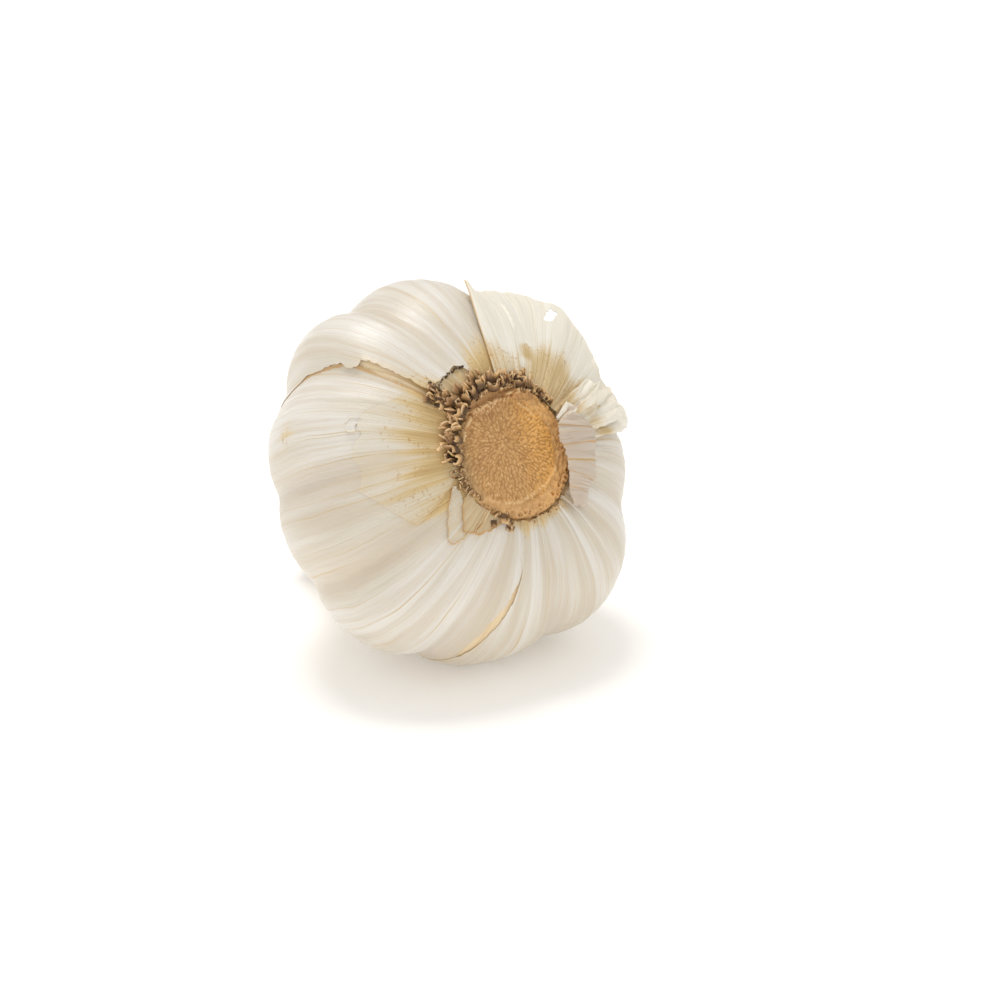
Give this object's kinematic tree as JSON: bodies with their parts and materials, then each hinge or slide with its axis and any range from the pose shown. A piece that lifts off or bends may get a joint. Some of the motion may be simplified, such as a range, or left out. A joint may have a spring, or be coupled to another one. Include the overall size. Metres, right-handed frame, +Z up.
{
  "type": "garlic bulb",
  "caption": "Whole garlic bulb lying on its side: bulging cloves under papery skin, a round root plate with dry root stubs, torn curling outer skin and a short dried neck.",
  "frame": {"origin": "centre of the small flat spot that the bulb rests on, on the underside of its lowest clove", "axes": "+Z up; the bulb's axis lies in the YZ plane, with the root plate towards -Y and tilted 29 degrees up, and the neck towards +Y; +X to the right when the root plate is faced"},
  "size_m": [0.0606, 0.0646, 0.0613],
  "materials": {
    "papery_skin": "satin ivory papery skin with fine lengthwise veins",
    "root_cork": "dry corky tan root plate and root stubs",
    "torn_skin": "thin translucent dry outer skin, stained ochre near the roots",
    "folded_skin": "thin greyish lilac dry skin with ochre veins"
  },
  "bodies": {
    "root": {"bulb": "papery_skin", "root_plate": "root_cork", "skin_collar": "torn_skin", "skin_fold": "folded_skin"}
  },
  "joints": []
}
